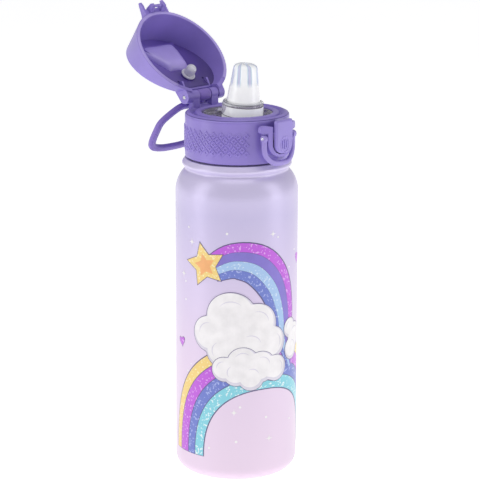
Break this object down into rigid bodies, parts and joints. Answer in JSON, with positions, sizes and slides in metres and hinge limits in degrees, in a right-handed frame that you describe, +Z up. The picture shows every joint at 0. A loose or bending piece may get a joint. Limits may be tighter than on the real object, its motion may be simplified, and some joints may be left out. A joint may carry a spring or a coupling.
{
  "type": "kids water bottle",
  "caption": "Insulated steel bottle with a screw lid, flip cover, soft bite spout with straw, latch button, lock bail and carry loop.",
  "frame": {"origin": "centre of the base, on the surface the bottle stands on", "axes": "+Z up along the bottle's axis, -Y towards the latch, +Y towards the lid's hinge; the flip lid is open at rest"},
  "size_m": [0.073, 0.1211, 0.2767],
  "materials": {
    "shell_paint": "satin powder coat, lavender to pale pink",
    "steel": "fine brushed",
    "lid_plastic": "satin",
    "lid_inner": "satin",
    "clear_silicone": "soft translucent",
    "clear_plastic": "polished, see-through",
    "seal_silicone": "soft white",
    "pin_steel": "polished",
    "loop_rubber": "soft matte"
  },
  "bodies": {
    "bottle": {"outer_shell": "shell_paint", "inner_liner": "steel", "base_disc": "steel", "getter_capsule": "steel"},
    "lid_seal": {"lid_gasket": "seal_silicone"},
    "lid_base": {"collar": "lid_plastic", "thread_sleeve": "lid_plastic", "spout_seat": "clear_plastic", "spout_ring": "clear_plastic", "spout": "clear_silicone", "straw_adapter": "clear_silicone", "straw": "clear_plastic", "vent_valve": "seal_silicone", "hinge_pin": "pin_steel", "button_pin": "pin_steel", "button_spring": "pin_steel", "bail_pin_left": "pin_steel", "bail_pin_right": "pin_steel"},
    "flip_lid": {"lid_shell": "lid_plastic", "lid_liner": "lid_inner", "vent_plug": "seal_silicone", "catch_bar": "lid_plastic"},
    "button": {"latch_button": "lid_plastic"},
    "bail": {"lock_bail": "lid_plastic"},
    "loop": {"carry_loop": "loop_rubber"}
  },
  "joints": [
    {"name": "lid_lift", "type": "slide", "parent": "bottle", "child": "lid_seal", "axis": [0, 0, 1], "range_m": [0, 0.2]},
    {"name": "lid_turn", "type": "hinge", "parent": "lid_seal", "child": "lid_base", "pos_m": [0, 0, 0.2], "axis": [0, 0, 1], "range_deg": [0, 450]},
    {"name": "lid_flip", "type": "hinge", "parent": "lid_base", "child": "flip_lid", "pos_m": [0, 0.029, 0.2252], "axis": [1, 0, 0], "range_deg": [0, 135], "deforming": ["spout"]},
    {"name": "button_press", "type": "hinge", "parent": "lid_base", "child": "button", "pos_m": [0, -0.0336, 0.2095], "axis": [1, 0, 0], "range_deg": [0, 8], "stiffness_Nm_per_rad": 0.05, "deforming": ["button_spring"]},
    {"name": "bail_swing", "type": "hinge", "parent": "lid_base", "child": "bail", "pos_m": [0, -0.0334, 0.2086], "axis": [-1, 0, 0], "range_deg": [0, 120]},
    {"name": "loop_swing", "type": "hinge", "parent": "lid_base", "child": "loop", "pos_m": [0, 0.029, 0.2252], "axis": [1, 0, 0], "range_deg": [-4, 30]}
  ]
}
